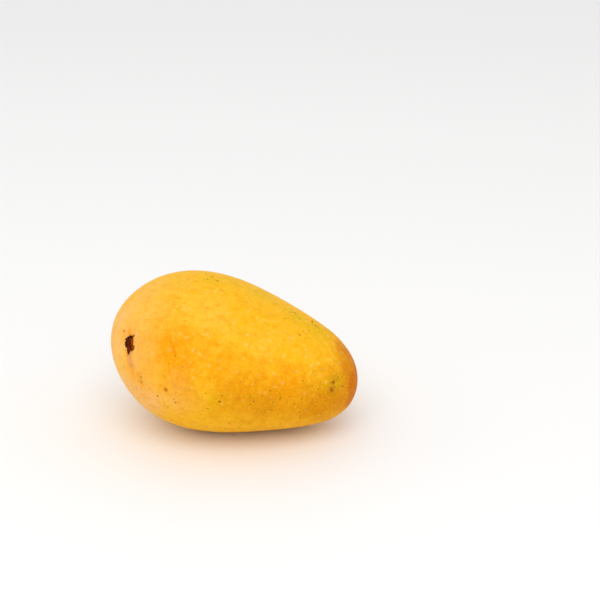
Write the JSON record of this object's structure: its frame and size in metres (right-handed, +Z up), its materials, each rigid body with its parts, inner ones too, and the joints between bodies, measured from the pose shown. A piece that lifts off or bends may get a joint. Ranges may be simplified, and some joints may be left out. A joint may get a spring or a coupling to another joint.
{
  "type": "mango",
  "caption": "Whole ripe yellow mango, picked, lying on its cheek with a small flat spot under it and the dry stub of its stalk in a shallow cavity.",
  "frame": {"origin": "under the middle of the fruit's bounding box, on the surface that it lies on", "axes": "+Z up; +X along the fruit towards its tip, so the stalk end is at -X; -Y on the belly side, where the stalk scar and the beak both show"},
  "size_m": [0.1052, 0.0794, 0.0645],
  "materials": {
    "skin": "smooth, thin waxy skin, golden yellow turning orange by the stalk, with fine pale and dark dots",
    "dry_stalk": "dry, broken, dark brown"
  },
  "bodies": {
    "root": {"mango_fruit": "skin", "stalk_stub": "dry_stalk"}
  },
  "joints": []
}
